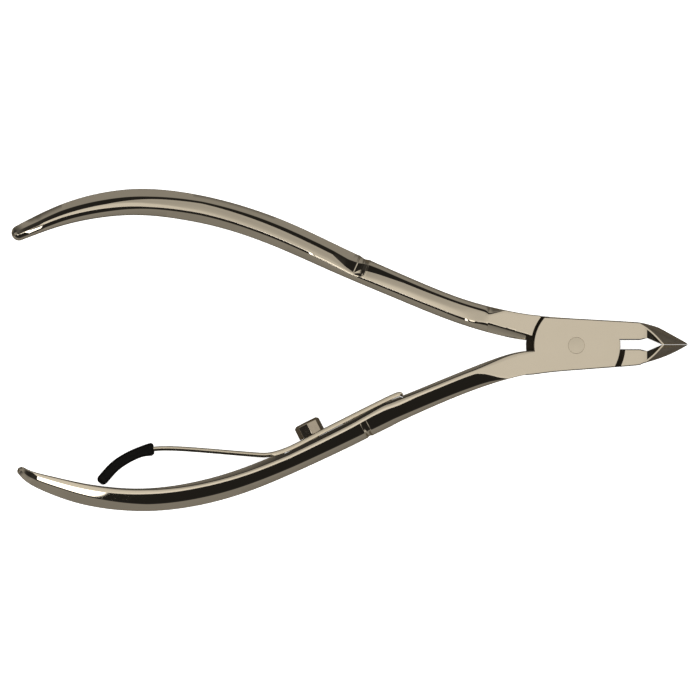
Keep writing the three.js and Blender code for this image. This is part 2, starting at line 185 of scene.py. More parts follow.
LOWER_FACETS = [
    (-6.5, (0.985, 0.95, -0.95), (41, 14, 0, -28)),
    (-11, (0.985, 0.95, -0.9), (41, 14, 0, -28)),
    (-12.8, (0.985, 0.95, -0.84), (41, 14, 0, -29)),
    (-14.2, (0.85, 0.62, -0.78), (41, 14, 0, -31)),
    (-16, (0.72, 0.0, -0.72), (41, 14, 0, -33)),
    (-17.5, (0.68, -0.36, -0.7), (41, 14, 0, -33)),
    (-19.5, (0.66, -0.4, -0.72), (41, 14, 0, -33)),
    (-24, (0.61, -0.41, -0.73), (41, 14, 0, -33)),
    (-28, (0.58, -0.42, -0.75), (41, 14, 0, -30)),
    (-31, (0.55, -0.35, -0.76), (41, 14, 0, -24)),
    (-36, (0.52, -0.42, -0.7), (41, 14, 0, -22)),
    (-41, (0.47, -0.38, -0.66), (41, 14, 0, -22)),
    (-50.5, (0.47, -0.28, -0.55), (41, 14, 0, -26)),
    (-57.5, (0.42, -0.35, -0.62), (41, 14, 0, -32)),
    (-66.5, (0.38, -0.47, -0.74), (41, 14, 0, -33)),
    (-76, (0.36, -0.53, -0.9), (41, 14, 0, -33)),
    (-83.5, (0.18, -0.52, -0.93), (41, 14, 0, -33)),
    (-91, (0.02, -0.54, -0.95), (41, 14, 0, -33)),
    (-95.9, (-0.02, -0.6, -0.96), (41, 14, 0, -33)),
    (-96.8, (-0.02, -0.9, -0.96), (41, 22, 0, -33)),
    (-97.7, (-0.06, -0.9, -0.96), (41, 24, 0, -33)),
    (-98.3, (-0.1, -0.9, -0.96), (41, 38, 0, -33)),
]
UPPER_EDGES = (0.22,) * 4  # radii of the polished edges between facets
LOWER_EDGES = (0.8, 0.35, 0.4)
WALL_RADIUS = 0.25  # between the outermost facets and the walls
LEAST_HEIGHT = 0.15  # of a facet's edge above the middle, as a share of half the depth
CROWN = 2  # index of the facet that bulges
CROWN_BULGE = 0.018  # share of its width
CROWN_STARTS = (17, 26)  # distance from the pivot over which the bulge grows
CORNER_STEPS = 5
CROWN_STEPS = 5
LENGTH_STEPS = 2000  # for measuring along a handle
HANDLE_STEP = 0.35
RING_STEP = 0.05
# Decorative rings; each fades out at the facet edge that last_edge counts.
UPPER_RING = {"x": -38.3, "width": 2.0, "depth": 0.2, "rim": 0.06, "thin": 0.13, "last_edge": 2}
LOWER_RING = {"x": -37.5, "width": 1.15, "depth": 0.16, "rim": 0.04, "thin": 0.1, "last_edge": 1}
RING_REACH = 1.6  # half the length of the finely stepped stretch around a ring
RING_FADE = 0.35  # width over which a ring rises from its inner edge
END_STEPS = 14
END_STOP = 0.3  # part of a step by which an end stops short of a point
END_SHARE = 0.95  # length of the rounded end, as a share of half the width
END_WALL = 0.97  # share of half the width beyond which a point lies on a wall

SEAT = {"x": -46.42, "y": -16.6, "angle": math.radians(26.9)}
LEAF = {
    "thickness": 0.8,
    "width": 4.0,
    "tip_width": 3.0,
    "narrowing": (0.4, 0.75),
    "hole": 1.2,
    "edge": 0.1,
    "corner": 0.7,
    "corner_share": 0.05,
    "arm_fall": 0.17,
    "arm_starts": (0.4, 0.47),
}
SEAT_GAP = 0.012
SEAT_SHARE = 0.48  # of the leaf's line that lies in its seat
LIP_CLEARANCE = 0.12
SEAT_FLAT = {"reach": 5.9, "level": 0.034}  # ground level round the screw, so the leaf can swing
# Centre line of the leaf in the seat's frame (along, away), from its turned-down lip to its tip.
LEAF_LINE = [
    (17.05, -0.1),
    (16.7, 0.36),
    (12, 0.5),
    (5, 0.52),
    (0, 0.48),
    (-4.5, 0.48),
    (-8, 1),
    (-10.6, 2.25),
    (-15.8, 5.45),
    (-21.9, 9.15),
    (-26.2, 11.3),
    (-29.5, 12),
    (-33, 11.85),
    (-35.5, 11.1),
    (-37.3, 10.35),
]
LEAF_STEPS = 240
BAR_STEPS = 5
BAR_BEND = 0.05  # where a bar's side starts to fall, as a share of half its thickness
LEAF_END = 0.965
POCKET_START = 0.685
POCKET_END = 0.97
# The sleeve; its starts and ends are shares of the leaf's line.
SLEEVE = {
    "start": 0.715,
    "lip": 0.7,
    "lip_end": 0.723,
    "mouth": 2.3,
    "mouth_end": 0.77,
    "thickness": 1.9,
    "width": 4.3,
    "end": 0.976,
    "end_reach": 0.85,
    "end_size": 0.15,
    "lip_radius": 0.5,
    "radius": 0.7,
    "clearance": 0.05,
    "lip_cut": 1.3,
    "lip_steps": 6,
    "steps": 70,
    "end_steps": 11,
}

SCREW = {
    "turn": math.radians(3),
    "head": 2.4,
    "head_base": 0.89,
    "sides": 8,
    "corner": 0.25,
    "corner_steps": 4,
    "shank": 1.0,
    "shank_length": 2.6,
    "shank_overlap": 0.5,
    "bore": 1.06,
    "bore_depth": 2.9,
}
# Profile of the screw's head: how far inside its corners, and how far above its base.
SCREW_PROFILE = [
    (0.12, 0.0),
    (0.03, 0.04),
    (0.0, 0.12),
    (0.0, 2.08),
    (0.05, 2.17),
    (0.37, 2.44),
    (0.45, 2.49),
    (1.44, 2.49),
]

# Edges sharper than these angles, in degrees, stay sharp in the shading.
FORGED_SHARP = 24
LEAF_SHARP = 35
SLEEVE_SHARP = 40


# ---------------------------------------------------------------- curves and outlines
def smooth_line(stations):
    """A curve with continuous curvature through the stations, by its share from 0 to 1."""
    points = np.array(stations, float)
    count = len(points)
    system = np.eye(count)
    right = np.zeros_like(points)
    for i in range(1, count - 1):
        system[i, i - 1:i + 2] = 1, 4, 1
        right[i] = 6 * (points[i - 1] - 2 * points[i] + points[i + 1])
    bends = np.linalg.solve(system, right)

    def at(share):
        place = min(max(share, 0), 1) * (count - 1)
        i = min(int(place), count - 2)
        b = place - i
        a = 1 - b
        sag = ((a ** 3 - a) * bends[i] + (b ** 3 - b) * bends[i + 1]) / 6
        return a * points[i] + b * points[i + 1] + sag

    return at


def heading(line, share):
    """Unit direction of a curve in the plane."""
    step = 1e-4
    ahead = line(share + step)[:2] - line(share - step)[:2]
    return ahead / np.linalg.norm(ahead)


def smooth_points(stations, step):
    """Points along the smooth line through the stations, about a step apart."""
    line = smooth_line(stations)
    length = sum(math.dist(a, b) for a, b in zip(stations, stations[1:]))
    count = max(2, round(length / step))
    return [tuple(line(i / count)) for i in range(count + 1)]


def ease(value, low, high):
    """0 below low, 1 above high, smooth between."""
    t = min(max((value - low) / (high - low), 0), 1)
    return t * t * (3 - 2 * t)


def corner_arcs(corners, steps):
    """Each corner (x, y, radius) of a closed outline as its own arc of steps + 1 points."""
    arcs = []
    count = len(corners)
    for i, (x, y, radius) in enumerate(corners):
        here = Vector((x, y))
        back = Vector(corners[i - 1][:2]) - here
        ahead = Vector(corners[(i + 1) % count][:2]) - here
        turn = math.pi - back.angle(ahead, math.pi)
        room = LEG_SHARE * min(back.length, ahead.length)
        reach = min(radius * math.tan(turn / 2), room)
        start = here + back.normalized() * reach
        end = here + ahead.normalized() * reach
        points = []
        for k in range(steps + 1):
            t = k / steps
            pull = 2 * t * (1 - t) * math.cos(turn / 2)
            total = (1 - t) ** 2 + t * t + pull
            points.append(tuple((start * (1 - t) ** 2 + here * pull + end * t * t) / total))
        arcs.append(points)
    return arcs


def rounded(corners, steps):
    """A closed outline with rounded corners."""
    return [point for points in corner_arcs(corners, steps) for point in points]


def arc(radius, start, end, step=math.radians(1.5)):
    """Points of an arc about the pivot between two angles."""
    count = max(2, round(abs(end - start) / step))
    angles = [start + (end - start) * i / count for i in range(count + 1)]
    return [(radius * math.cos(a), radius * math.sin(a)) for a in angles]


def anticlockwise(points):
    """The same outline, turned round if it runs clockwise."""
    area = sum(a[0] * b[1] - b[0] * a[1] for a, b in zip(points, points[1:] + points[:1]))
    return points if area > 0 else points[::-1]


def inset(points, amount):
    """An anticlockwise outline moved inwards."""
    moved = []
    count = len(points)
    for i in range(count):
        here = Vector(points[i])
        before = (here - Vector(points[i - 1])).normalized()
        after = (Vector(points[(i + 1) % count]) - here).normalized()
        normal = Vector((-before.y - after.y, before.x + after.x)).normalized()
        scale = max(LEAST_SPREAD, normal.dot(Vector((-before.y, before.x))))
        moved.append(tuple(here + normal * (amount / scale)))
    return moved


# ---------------------------------------------------------------- solids
def new_object(name, data):
    """An object in the scene from a mesh, a light or a camera."""
    piece = bpy.data.objects.new(name, data)
    bpy.context.scene.collection.objects.link(piece)
    return piece


def apply_modifiers(piece):
    """Puts what the piece's modifiers make in the place of its mesh."""
    graph = bpy.context.evaluated_depsgraph_get()
    mesh = bpy.data.meshes.new_from_object(piece.evaluated_get(graph))
    piece.modifiers.clear()
    piece.data = mesh
    return piece


def solid(name, points, faces):
    """A closed mesh from points in millimetres."""
    mesh = bpy.data.meshes.new(name)
    mesh.from_pydata([tuple(c * MM for c in p) for p in points], [], faces)
    mesh.validate()
    worker = bmesh.new()
    worker.from_mesh(mesh)
    bmesh.ops.remove_doubles(worker, verts=worker.verts, dist=WELD)
    bmesh.ops.recalc_face_normals(worker, faces=worker.faces)
    worker.to_mesh(mesh)
    worker.free()
    return new_object(name, mesh)


def skin(name, rings):
    """Rings of points joined into one closed skin with a flat cap at each end."""
    count = len(rings[0])
    faces = []
    for i in range(len(rings) - 1):
        for j in range(count):
            k = (j + 1) % count
            faces.append((i * count + j, i * count + k, (i + 1) * count + k, (i + 1) * count + j))
    last = (len(rings) - 1) * count
    faces.append(tuple(range(count))[::-1])
    faces.append(tuple(range(last, last + count)))
    return solid(name, [p for ring in rings for p in ring], faces)


def plate(name, outline, low, high, edge=0.0):
    """A flat outline raised between two heights, with bevelled rims if there is an edge width."""
    outline = anticlockwise(outline)
    levels = [(0.0, low), (0.0, high)]
    if edge:
        rim = [(edge * inwards, edge * fall) for inwards, fall in EDGE_PROFILE]
        levels = [(drop, low + rise) for drop, rise in rim]
        levels += [(drop, high - rise) for drop, rise in reversed(rim)]
    return skin(name, [[(x, y, z) for x, y in inset(outline, drop)] for drop, z in levels])


def turned(name, profile, count=96):
    """A turned solid about the Z axis from a profile of (radius, z)."""
    rings = []
    for radius, z in profile:
        ring = []
        for k in range(count):
            angle = 2 * math.pi * k / count
            ring.append((radius * math.cos(angle), radius * math.sin(angle), z))
        rings.append(ring)
    return skin(name, rings)


def carve(body, tool, operation="DIFFERENCE"):
    """Cuts the body with the tool, or joins or intersects them; the tool is used up."""
    modifier = body.modifiers.new("carve", "BOOLEAN")
    modifier.operation = operation
    modifier.solver = "MANIFOLD"
    modifier.object = tool
    apply_modifiers(body)
    bpy.data.objects.remove(tool)
    return body


def space_above(name, a, b, c):
    """The half of space above the plane through three points."""
    a, b, c = Vector(a), Vector(b), Vector(c)
    normal = (b - a).cross(c - a).normalized()
    if normal.z < 0:
        normal.negate()
    side = normal.orthogonal().normalized()
    other = normal.cross(side)
    square = [side + other, other - side, -side - other, side - other]
    rings = [[tuple(a + corner * FAR + normal * lift) for corner in square] for lift in (0, FAR)]
    return skin(name, rings)


def seat_place(piece):
    """Moves a piece's mesh from the seat's frame (along, away, across) to the nipper's."""
    matrix = Matrix.Translation((SEAT["x"] * MM, SEAT["y"] * MM, MID_Z * MM))
    piece.data.transform(matrix @ Matrix.Rotation(SEAT["angle"], 4, "Z"))
    return piece


def finish_surface(piece, sharp=FORGED_SHARP):
    """Smooth shading that keeps flats flat and edges above the angle sharp."""
    mesh = bmesh.new()
    mesh.from_mesh(piece.data)
    bmesh.ops.triangulate(mesh, faces=[face for face in mesh.faces if len(face.verts) > 4])
    mesh.to_mesh(piece.data)
    mesh.free()
    piece.data.shade_smooth()
    piece.data.set_sharp_from_angle(angle=math.radians(sharp))
    modifier = piece.modifiers.new("flats", "WEIGHTED_NORMAL")
    modifier.keep_sharp = True
    return apply_modifiers(piece)


# ---------------------------------------------------------------- handles
def facets_at(table, x):
    """Edge places and facet tilts at x, between the rows of a table."""
    rows = sorted(table)
    places = [row[0] for row in rows]
    values = np.array([[*row[1], *row[2]] for row in rows])
    found = [float(np.interp(x, places, column)) for column in values.T]
    edges = len(rows[0][1])
    return found[:edges], found[edges:]


def handle_section(half_width, half_depth, edges, tilts, radii, bulge):
    """The closed section of a handle as (across, up) points; across grows outwards."""
    bounds = [1.0, *edges, -1.0]
    top = [0.0]
    for k, tilt in enumerate(tilts):
        run = (bounds[k] - bounds[k + 1]) * half_width
        top.append(top[-1] + run * math.tan(math.radians(tilt)))
    lift = half_depth - max(top)
    least = LEAST_HEIGHT * half_depth
    corners = [
        (share * half_width, max(height + lift, least), radius)
        for share, height, radius in zip(bounds, top, [WALL_RADIUS, *radii, WALL_RADIUS])
    ]
    mirrored = [(u, -v, radius) for u, v, radius in reversed(corners)]
    arcs = corner_arcs(corners + mirrored, CORNER_STEPS)
    count = len(corners)
    section = []
    for i, points in enumerate(arcs):
        section += points
        if i == CROWN or i == 2 * count - 2 - CROWN:
            start, end = Vector(points[-1]), Vector(arcs[i + 1][0])
            side = 1 if i < count else -1
            for k in range(1, CROWN_STEPS):
                t = k / CROWN_STEPS
                middle = start.lerp(end, t)
                rise = bulge * (end - start).length * 4 * t * (1 - t)
                section.append((middle.x, middle.y + side * rise))
    return section


def ring_height(distance, ring):
    """Height of the decorative ring above the handle, by distance from its middle."""
    half = ring["width"] / 2
    groove = 0.0
    if abs(distance) < half:
        groove = -ring["depth"] * math.cos(math.pi / 2 * distance / half) ** 2
    return groove + ring["rim"] * math.exp(-(((abs(distance) - half) / ring["thin"]) ** 2))


def ringed(section, lift, inner):
    """A section with the ring's height added outwards of its inner edge."""
    moved = []
    for u, v in section:
        rise = lift * ease(u, inner, inner + RING_FADE) / (math.hypot(u, v) or 1)
        moved.append((u + rise * u, v + rise * v))
    return moved


def end_section(section, half_width, angle):
    """A section of the rounded end, where the facets run round the tip."""
    top = sorted((abs(u), v) for u, v in section if v > 0 and u >= 0)
    low = sorted((abs(u), v) for u, v in section if v > 0 and u <= 0)
    moved = []
    for u, v in section:
        across = u * math.cos(angle)
        away = math.hypot(half_width * math.sin(angle), across)
        if abs(u) < END_WALL * half_width:
            side = top if u > 0 else low
            height = float(np.interp(away, [p[0] for p in side], [p[1] for p in side]))
            v = math.copysign(height, v)
        moved.append((across, v))
    return moved


def handle(name, stations, facets, radii, side, ring):
    """One handle with its facets, ring and rounded end. Side is +1 where outwards is +Y."""
    line = smooth_line(stations)
    shares = np.linspace(0, 1, LENGTH_STEPS + 1)
    points = np.array([line(share) for share in shares])
    steps = np.linalg.norm(np.diff(points[:, :2], axis=0), axis=1)
    lengths = np.concatenate([[0.0], np.cumsum(steps)])
    ring_place = float(np.interp(-ring["x"], -points[:, 0], lengths))
    near = np.arange(ring_place - RING_REACH, ring_place + RING_REACH, RING_STEP)
    places = np.arange(0, lengths[-1], HANDLE_STEP)
    places = [place for place in places if abs(place - ring_place) > RING_REACH]

    def placed(centre, ahead, section):
        outward = Vector((ahead[1], -ahead[0])) * side
        return [
            (centre[0] + outward.x * u, centre[1] + outward.y * u, MID_Z + v) for u, v in section
        ]

    rings = []
    for place in sorted([*places, *near, lengths[-1]]):
        share = float(np.interp(place, lengths, shares))
        x, y, width, depth = line(share)
        edges, tilts = facets_at(facets, x)
        bulge = CROWN_BULGE * ease(-x, *CROWN_STARTS)
        section = handle_section(width / 2, min(depth, THICKNESS) / 2, edges, tilts, radii, bulge)
        lift = ring_height(place - ring_place, ring)
        section = ringed(section, lift, edges[ring["last_edge"]] * width / 2)
        rings.append(placed((x, y), heading(line, share), section))

    x, y, width, depth = line(1)
    edges, tilts = facets_at(facets, x)
    section = handle_section(width / 2, depth / 2, edges, tilts, radii, CROWN_BULGE)
    ahead = heading(line, 1)
    for k in range(1, END_STEPS + 1):
        angle = math.pi / 2 * k / (END_STEPS + END_STOP)
        reach = END_SHARE * width / 2 * math.sin(angle)
        centre = (x + ahead[0] * reach, y + ahead[1] * reach)
        rings.append(placed(centre, ahead, end_section(section, width / 2, angle)))
    return skin(name, rings)


# ---------------------------------------------------------------- heads
LOWER_HEAD = {
    "side": 1,
    "jaw": [
        (-5.9, 5.05),
        (1, 4.7),
        (8, 4.3),
        (11.4, 4.05),
        (13.4, 3.62),
        (15.2, 3.07),
        (17, 2.32),
        (18.7, 1.35),
    ],
    "root": [(6.8, -3.85), (1, -4.3), (-4.4, -4.75), (-8.0, -5.2), (-10.5, -5.2)],
    "crotch": [(-10.5, -1.9), (-9.0, -1.6), (-7.4, -1.1)],
}
UPPER_HEAD = {
    "side": -1,
    "jaw": [
        (-7, 4.75),
        (1, 4.3),
        (9.9, 3.62),
        (11.6, 3.3),
        (13.4, 2.76),
        (15.2, 2.2),
        (17, 1.5),
        (18.7, 0.65),
    ],
    "root": [(6.8, -4.3), (1, -4.7), (-5.9, -5.2), (-8.0, -5.35), (-10.5, -5.3)],
    "crotch": [(-10.5, -2.4), (-8.9, -2.1), (-8.55, -1.9)],
}


def head_outline(head, arcs):
    """Outline of a head seen from above: handle root, plate and jaw."""
    side = head["side"]
    inner = CUT_Y * side + CUT_GAP / 2
    slot_y = CUT_Y * side + SLOT["half_width"]
    throat_y = CUT_Y * side + SLOT["throat"]
    left, right = arcs["left"], arcs["right"]
    left_ends = (head["crotch"][-1][1], head["jaw"][0][1])
    right_high = math.sqrt(right ** 2 - slot_y ** 2)
    points = list(head["crotch"][:-1])
    points += arc(left, *[math.pi - math.asin(y / left) for y in left_ends])
    points += smooth_points(head["jaw"], OUTLINE_STEP)[1:]
    points.append((JAW["toe_x"], inner))
    points.append((JAW["rim"][-1][0], inner))
    throat = [
        (JAW["rim"][-1][0], inner, 0),
        (SLOT["throat_x"], throat_y, SLOT["fillet"]),
        (SLOT["waist_x"], slot_y, SLOT["fillet"]),
        (right_high, slot_y, 0),
        (right_high, inner - 1, 0),
    ]
    throat_arcs = corner_arcs(throat, FILLET_STEPS)
    points += throat_arcs[1] + throat_arcs[2]
    points += arc(right, math.asin(slot_y / right), math.asin(head["root"][0][1] / right))
    points += smooth_points(head["root"], OUTLINE_STEP)[1:]
    if side < 0:
        points = [(x, -y) for x, y in points]
    return points


def lap_disc(name, recess, low, high):
    """A disc about the pivot with its own radius in each quarter that a shoulder needs."""
    points = arc(recess["right"], -math.pi / 2, math.pi / 2)
    points += arc(recess["left"], math.pi / 2, SHOULDER_END)
    points += arc(recess["far"], SHOULDER_END, 3 * math.pi / 2)
    return plate(name, points, low, high)


def jaw_hollow(rim, side):
    """The space inside a jaw's rim: a curved start, then a straight fall towards the toe."""
    fall, radius, start = JAW["hollow_fall"], JAW["hollow_radius"], JAW["hollow_x"]
    reach = JAW["hollow_reach"]
    profile = []
    for k in range(JAW["hollow_steps"] + 1):
        angle = fall * k / JAW["hollow_steps"]
        drop = radius * (1 - math.cos(angle))
        profile.append((start + radius * math.sin(angle), THICKNESS + JAW["hollow_lift"] - drop))
    last_x, last_z = profile[-1]
    profile.append((last_x + reach, last_z - reach * math.tan(fall)))
    profile.append((last_x + reach, THICKNESS + reach))
    profile.append((start, THICKNESS + reach))
    hollow = skin("hollow", [[(x, y, z) for x, z in profile] for y in (-reach, reach)])

    edge = [(x, y) for x, y in rim if x > start - HOLLOW_MARGINS[0]]
    ends = (edge[0][0], edge[-1][0] + HOLLOW_MARGINS[1])
    outline = [(ends[0], -reach)] + edge + [(ends[1], -reach)]
    outline = inset(anticlockwise(outline), JAW["land"])
    outline = [(x, CUT_Y + side * y) for x, y in outline]
    return carve(hollow, plate("inside_rim", outline, 0, THICKNESS + OVERSHOOT), "INTERSECT")


def grind_jaw(body, side):
    """Grinds a jaw: the outer bevel, a cone that runs to the toe, then its crest and hollow."""

    def at(x, y, z):
        return (x, CUT_Y + side * y, z)

    def crest(x):
        return THICKNESS - max(0.0, x - JAW["crest_x"]) * math.tan(JAW["crest_fall"])

    rim = smooth_points(JAW["rim"], JAW["rim_step"])
    toe = at(JAW["toe_x"], 0, JAW["toe_z"])
    for (x0, y0), (x1, y1) in zip(rim, rim[1:]):
        carve(body, space_above("bevel", at(x0, y0, crest(x0)), at(x1, y1, crest(x1)), toe))
    start, end = JAW["crest_x"], JAW["toe_x"]
    slope = [(start, 0, THICKNESS), (start, 1, THICKNESS), (end, 0, crest(end))]
    carve(body, space_above("crest", *slope))
    return carve(body, jaw_hollow(rim, side))


def shoulder_facets(body):
    """The two facets along the crotch side of the upper half's shoulder."""
    start, end = Vector(SHOULDER["from"]), Vector(SHOULDER["to"])
    along = (end - start).normalized()
    out = Vector((along.y, -along.x))
    offset, drop = 0.0, 0.0
    for width, tilt in SHOULDER["facets"]:
        fall = math.tan(math.radians(tilt))
        a, b, c = start + out * offset, end + out * offset, end + out * (offset + 1)
        z = THICKNESS - drop
        cut = space_above("facet", (*a, z), (*b, z), (*c, z - fall))
        area = plate("area", SHOULDER["area"], MID_Z, THICKNESS + OVERSHOOT)
        carve(cut, area, "INTERSECT")
        carve(body, cut)
        offset += width
        drop += width * fall
    return body


def relieve(body, recess, plate_ends, up):
    """The groove in the corner of a recess, cut down from its floor (up 1) or up from it (-1)."""
    level = MID_Z - up * LAP_GAP / 2
    low, high = sorted((level - up * RELIEF, level + up * LAP_GAP / 4))
    groove = lap_disc("groove", recess, low, high)
    inner = dict(plate_ends, far=plate_ends["left"])
    inner = {side: reach - RELIEF_REACH for side, reach in inner.items()}
    carve(groove, lap_disc("kept", inner, low - OVERSHOOT, high + OVERSHOOT))
    return carve(body, groove)


def mirrored_end(profile):
    """The profile of a turned piece's upper end, from that of its lower end."""
    return [(radius, THICKNESS - z) for radius, z in reversed(profile)]


def rivet_space(name, fit):
    """The space that the rivet needs in the plates."""
    head, shank = RIVET["head"] + fit, RIVET["shank"] + fit
    depth, edge = RIVET["head_depth"], RIVET["edge"]
    low_end = [(head + edge, -OVERSHOOT), (head + edge, 0), (head, edge), (shank, depth)]
    return turned(name, low_end + mirrored_end(low_end))


def lower_half():
    """Lower handle, top plate of the joint and upper jaw."""
    piece = plate("lower_half_fine", head_outline(LOWER_HEAD, TOP_PLATE), 0, THICKNESS, EDGE)
    carve(piece, handle("bar", LOWER_LINE, LOWER_FACETS, LOWER_EDGES, -1, LOWER_RING), "UNION")
    carve(piece, lap_disc("lap", BOTTOM_RECESS, -OVERSHOOT, MID_Z + LAP_GAP / 2))
    relieve(piece, BOTTOM_RECESS, BOTTOM_PLATE, -1)
    grind_jaw(piece, 1)
    carve(piece, rivet_space("rivet_hole", RIVET["fit"]))
    carve(piece, spring_seat())
    carve(piece, screw_bore())
    return finish_surface(piece)


def upper_half():
    """Upper handle, bottom plate of the joint and lower jaw."""
    piece = plate("upper_half_fine", head_outline(UPPER_HEAD, BOTTOM_PLATE), 0, THICKNESS, EDGE)
    carve(piece, handle("bar", UPPER_LINE, UPPER_FACETS, UPPER_EDGES, 1, UPPER_RING), "UNION")
    carve(piece, lap_disc("lap", TOP_RECESS, MID_Z - LAP_GAP / 2, THICKNESS + OVERSHOOT))
    relieve(piece, TOP_RECESS, TOP_PLATE, 1)
    shoulder_facets(piece)
    grind_jaw(piece, -1)
    carve(piece, rivet_space("rivet_hole", RIVET["fit"]))
    return finish_surface(piece)


def pivot_rivet():
    """A rivet with flush countersunk heads and finely broken rims."""
    head, edge = RIVET["head"], RIVET["edge"]
    low_end = [
        (head * RIVET["flat"], 0.0),
        (head - edge, RIVET["dome"]),
        (head, edge),
        (RIVET["shank"], RIVET["head_depth"]),
    ]
    return finish_surface(turned("pivot_rivet_fine", low_end + mirrored_end(low_end)))


# ---------------------------------------------------------------- spring
def bar_ring(centre, ahead, thickness, width, radius, fall=0.0):
    """A rounded rectangle square to the leaf's line, in the seat's frame; its sides may fall."""
    half, wide = thickness / 2, width / 2
    bend = BAR_BEND * half
    side = [(half, wide, radius), (bend, wide, radius), (-half, wide - fall, radius)]
    corners = side + [(up, -across, radius) for up, across, radius in reversed(side)]
    return [
        (centre[0] + ahead[1] * up, centre[1] - ahead[0] * up, across)
        for up, across in rounded(corners, BAR_STEPS)
    ]


def leaf_width(share):
    """Width of the leaf: corners rounded at its lipped end, narrower towards the sleeve."""
    narrower = (LEAF["tip_width"] - LEAF["width"]) * ease(share, *LEAF["narrowing"])
    width = LEAF["width"] + narrower
    near = min(share / LEAF["corner_share"], 1.0)
    return width - 2 * LEAF["corner"] * (1 - math.sqrt(1 - (1 - near) ** 2))


def leaf_bar(name, start, end, grow, radius):
    """A stretch of the leaf, grown all round if it is a space for it."""
    line = smooth_line(LEAF_LINE)
    count = round(LEAF_STEPS * (end - start))
    rings = []
    for i in range(count + 1):
        share = start + (end - start) * i / count
        thickness = LEAF["thickness"] + 2 * grow
        width = leaf_width(share) + 2 * grow
        fall = LEAF["arm_fall"] * ease(share, *LEAF["arm_starts"])
        rings.append(bar_ring(line(share), heading(line, share), thickness, width, radius, fall))
    return skin(name, rings)


def spring_seat():
    """The seat ground in the handle for the leaf."""
    line = smooth_line(LEAF_LINE)
    drop = LEAF["thickness"] / 2 + SEAT_GAP
    count = round(LEAF_STEPS * SEAT_SHARE)
    points = [(LEAF_LINE[0][0] + OVERSHOOT, SCREW["head_base"])]
    ahead = heading(line, 0)
    t, n = line(0) - ahead * LIP_CLEARANCE
    for out in (drop + LIP_CLEARANCE, -drop):
        points.append((t + ahead[1] * out, n - ahead[0] * out))
    for i in range(count + 1):
        share = i / LEAF_STEPS
        t, n = line(share)
        ahead = heading(line, share)
        level = n + ahead[0] * drop
        if abs(t) < SEAT_FLAT["reach"]:
            level = min(level, SEAT_FLAT["level"])
        points.append((t - ahead[1] * drop, level))
    points.append((line(SEAT_SHARE)[0], LEAF["width"]))
    return seat_place(plate("seat", points, -LEAF["width"], LEAF["width"]))


def along_screw(piece):
    """Turns a piece from the Z axis to the screw's axis and puts it on the seat."""
    piece.data.transform(Matrix.Rotation(-math.pi / 2, 4, "X"))
    return seat_place(piece)


def screw_bore():
    """The hole in the handle for the screw's shank."""
    depth = SCREW["bore_depth"]
    bore = turned("bore", [(SCREW["bore"], -depth), (SCREW["bore"], depth)])
    return along_screw(bore)


def leaf_spring():
    """The leaf with its screw hole, from its turned-down lip to the end in the sleeve."""
    leaf = leaf_bar("leaf_spring_fine", 0, LEAF_END, 0, LEAF["edge"])
    top = SCREW["head_base"] + OVERSHOOT
    hole = turned("hole", [(LEAF["hole"], -OVERSHOOT), (LEAF["hole"], top)])
    hole.data.transform(Matrix.Rotation(-math.pi / 2, 4, "X"))
    carve(leaf, hole)
    return finish_surface(seat_place(leaf), LEAF_SHARP)


def spring_sleeve():
    """The rubber sleeve: a wider mouth with a rounded lip, and a rounded end."""
    line = smooth_line(LEAF_LINE)
    start, end, width = SLEEVE["start"], SLEEVE["end"], SLEEVE["width"]
    mouth, thickness, lip = SLEEVE["mouth"], SLEEVE["thickness"], SLEEVE["lip"]
    rings = []
    ahead = heading(line, start)
    for k in range(SLEEVE["lip_steps"], 0, -1):
        angle = math.pi / 2 * k / SLEEVE["lip_steps"]
        cut = SLEEVE["lip_cut"] * lip * (1 - math.cos(angle))
        centre = line(start) + ahead * (lip - lip * math.sin(angle))
        rings.append(bar_ring(centre, ahead, mouth - cut, width - cut, SLEEVE["lip_radius"]))
    for i in range(SLEEVE["steps"] + 1):
        share = SLEEVE["lip_end"] + (end - SLEEVE["lip_end"]) * i / SLEEVE["steps"]
        wall = mouth + (thickness - mouth) * ease(share, start, SLEEVE["mouth_end"])
        rings.append(bar_ring(line(share), heading(line, share), wall, width, SLEEVE["radius"]))
    ahead = heading(line, end)
    for k in range(1, SLEEVE["end_steps"]):
        angle = math.pi / 2 * k / SLEEVE["end_steps"]
        size = SLEEVE["end_size"] + (1 - SLEEVE["end_size"]) * math.cos(angle)
        centre = line(end) + ahead * SLEEVE["end_reach"] * math.sin(angle)
        radius = SLEEVE["radius"] * size
        rings.append(bar_ring(centre, ahead, thickness * size, width * size, radius))
    sleeve = skin("spring_sleeve_fine", rings)
    pocket = leaf_bar("pocket", POCKET_START, POCKET_END, SLEEVE["clearance"], LEAF["edge"])
    carve(sleeve, pocket)
    return finish_surface(seat_place(sleeve), SLEEVE_SHARP)


def spring_screw():
    """The thumb screw: an octagonal head with chamfered rims on a plain shank."""
    base, sides = SCREW["head_base"], SCREW["sides"]
    rings = []
    for drop, rise in SCREW_PROFILE:
        radius = SCREW["head"] - drop
        corners = []
        for k in range(sides):
            angle = math.pi / 2 + SCREW["turn"] + 2 * math.pi * k / sides
            corners.append((radius * math.cos(angle), radius * math.sin(angle), SCREW["corner"]))
        outline = rounded(corners, SCREW["corner_steps"])
        rings.append([(x, y, base + rise) for x, y in outline])
    screw = skin("spring_screw_fine", rings)
    top = base + SCREW["shank_overlap"]
    shank = turned("shank", [(SCREW["shank"], -SCREW["shank_length"]), (SCREW["shank"], top)])
    carve(screw, shank, "UNION")
    return finish_surface(along_screw(screw))


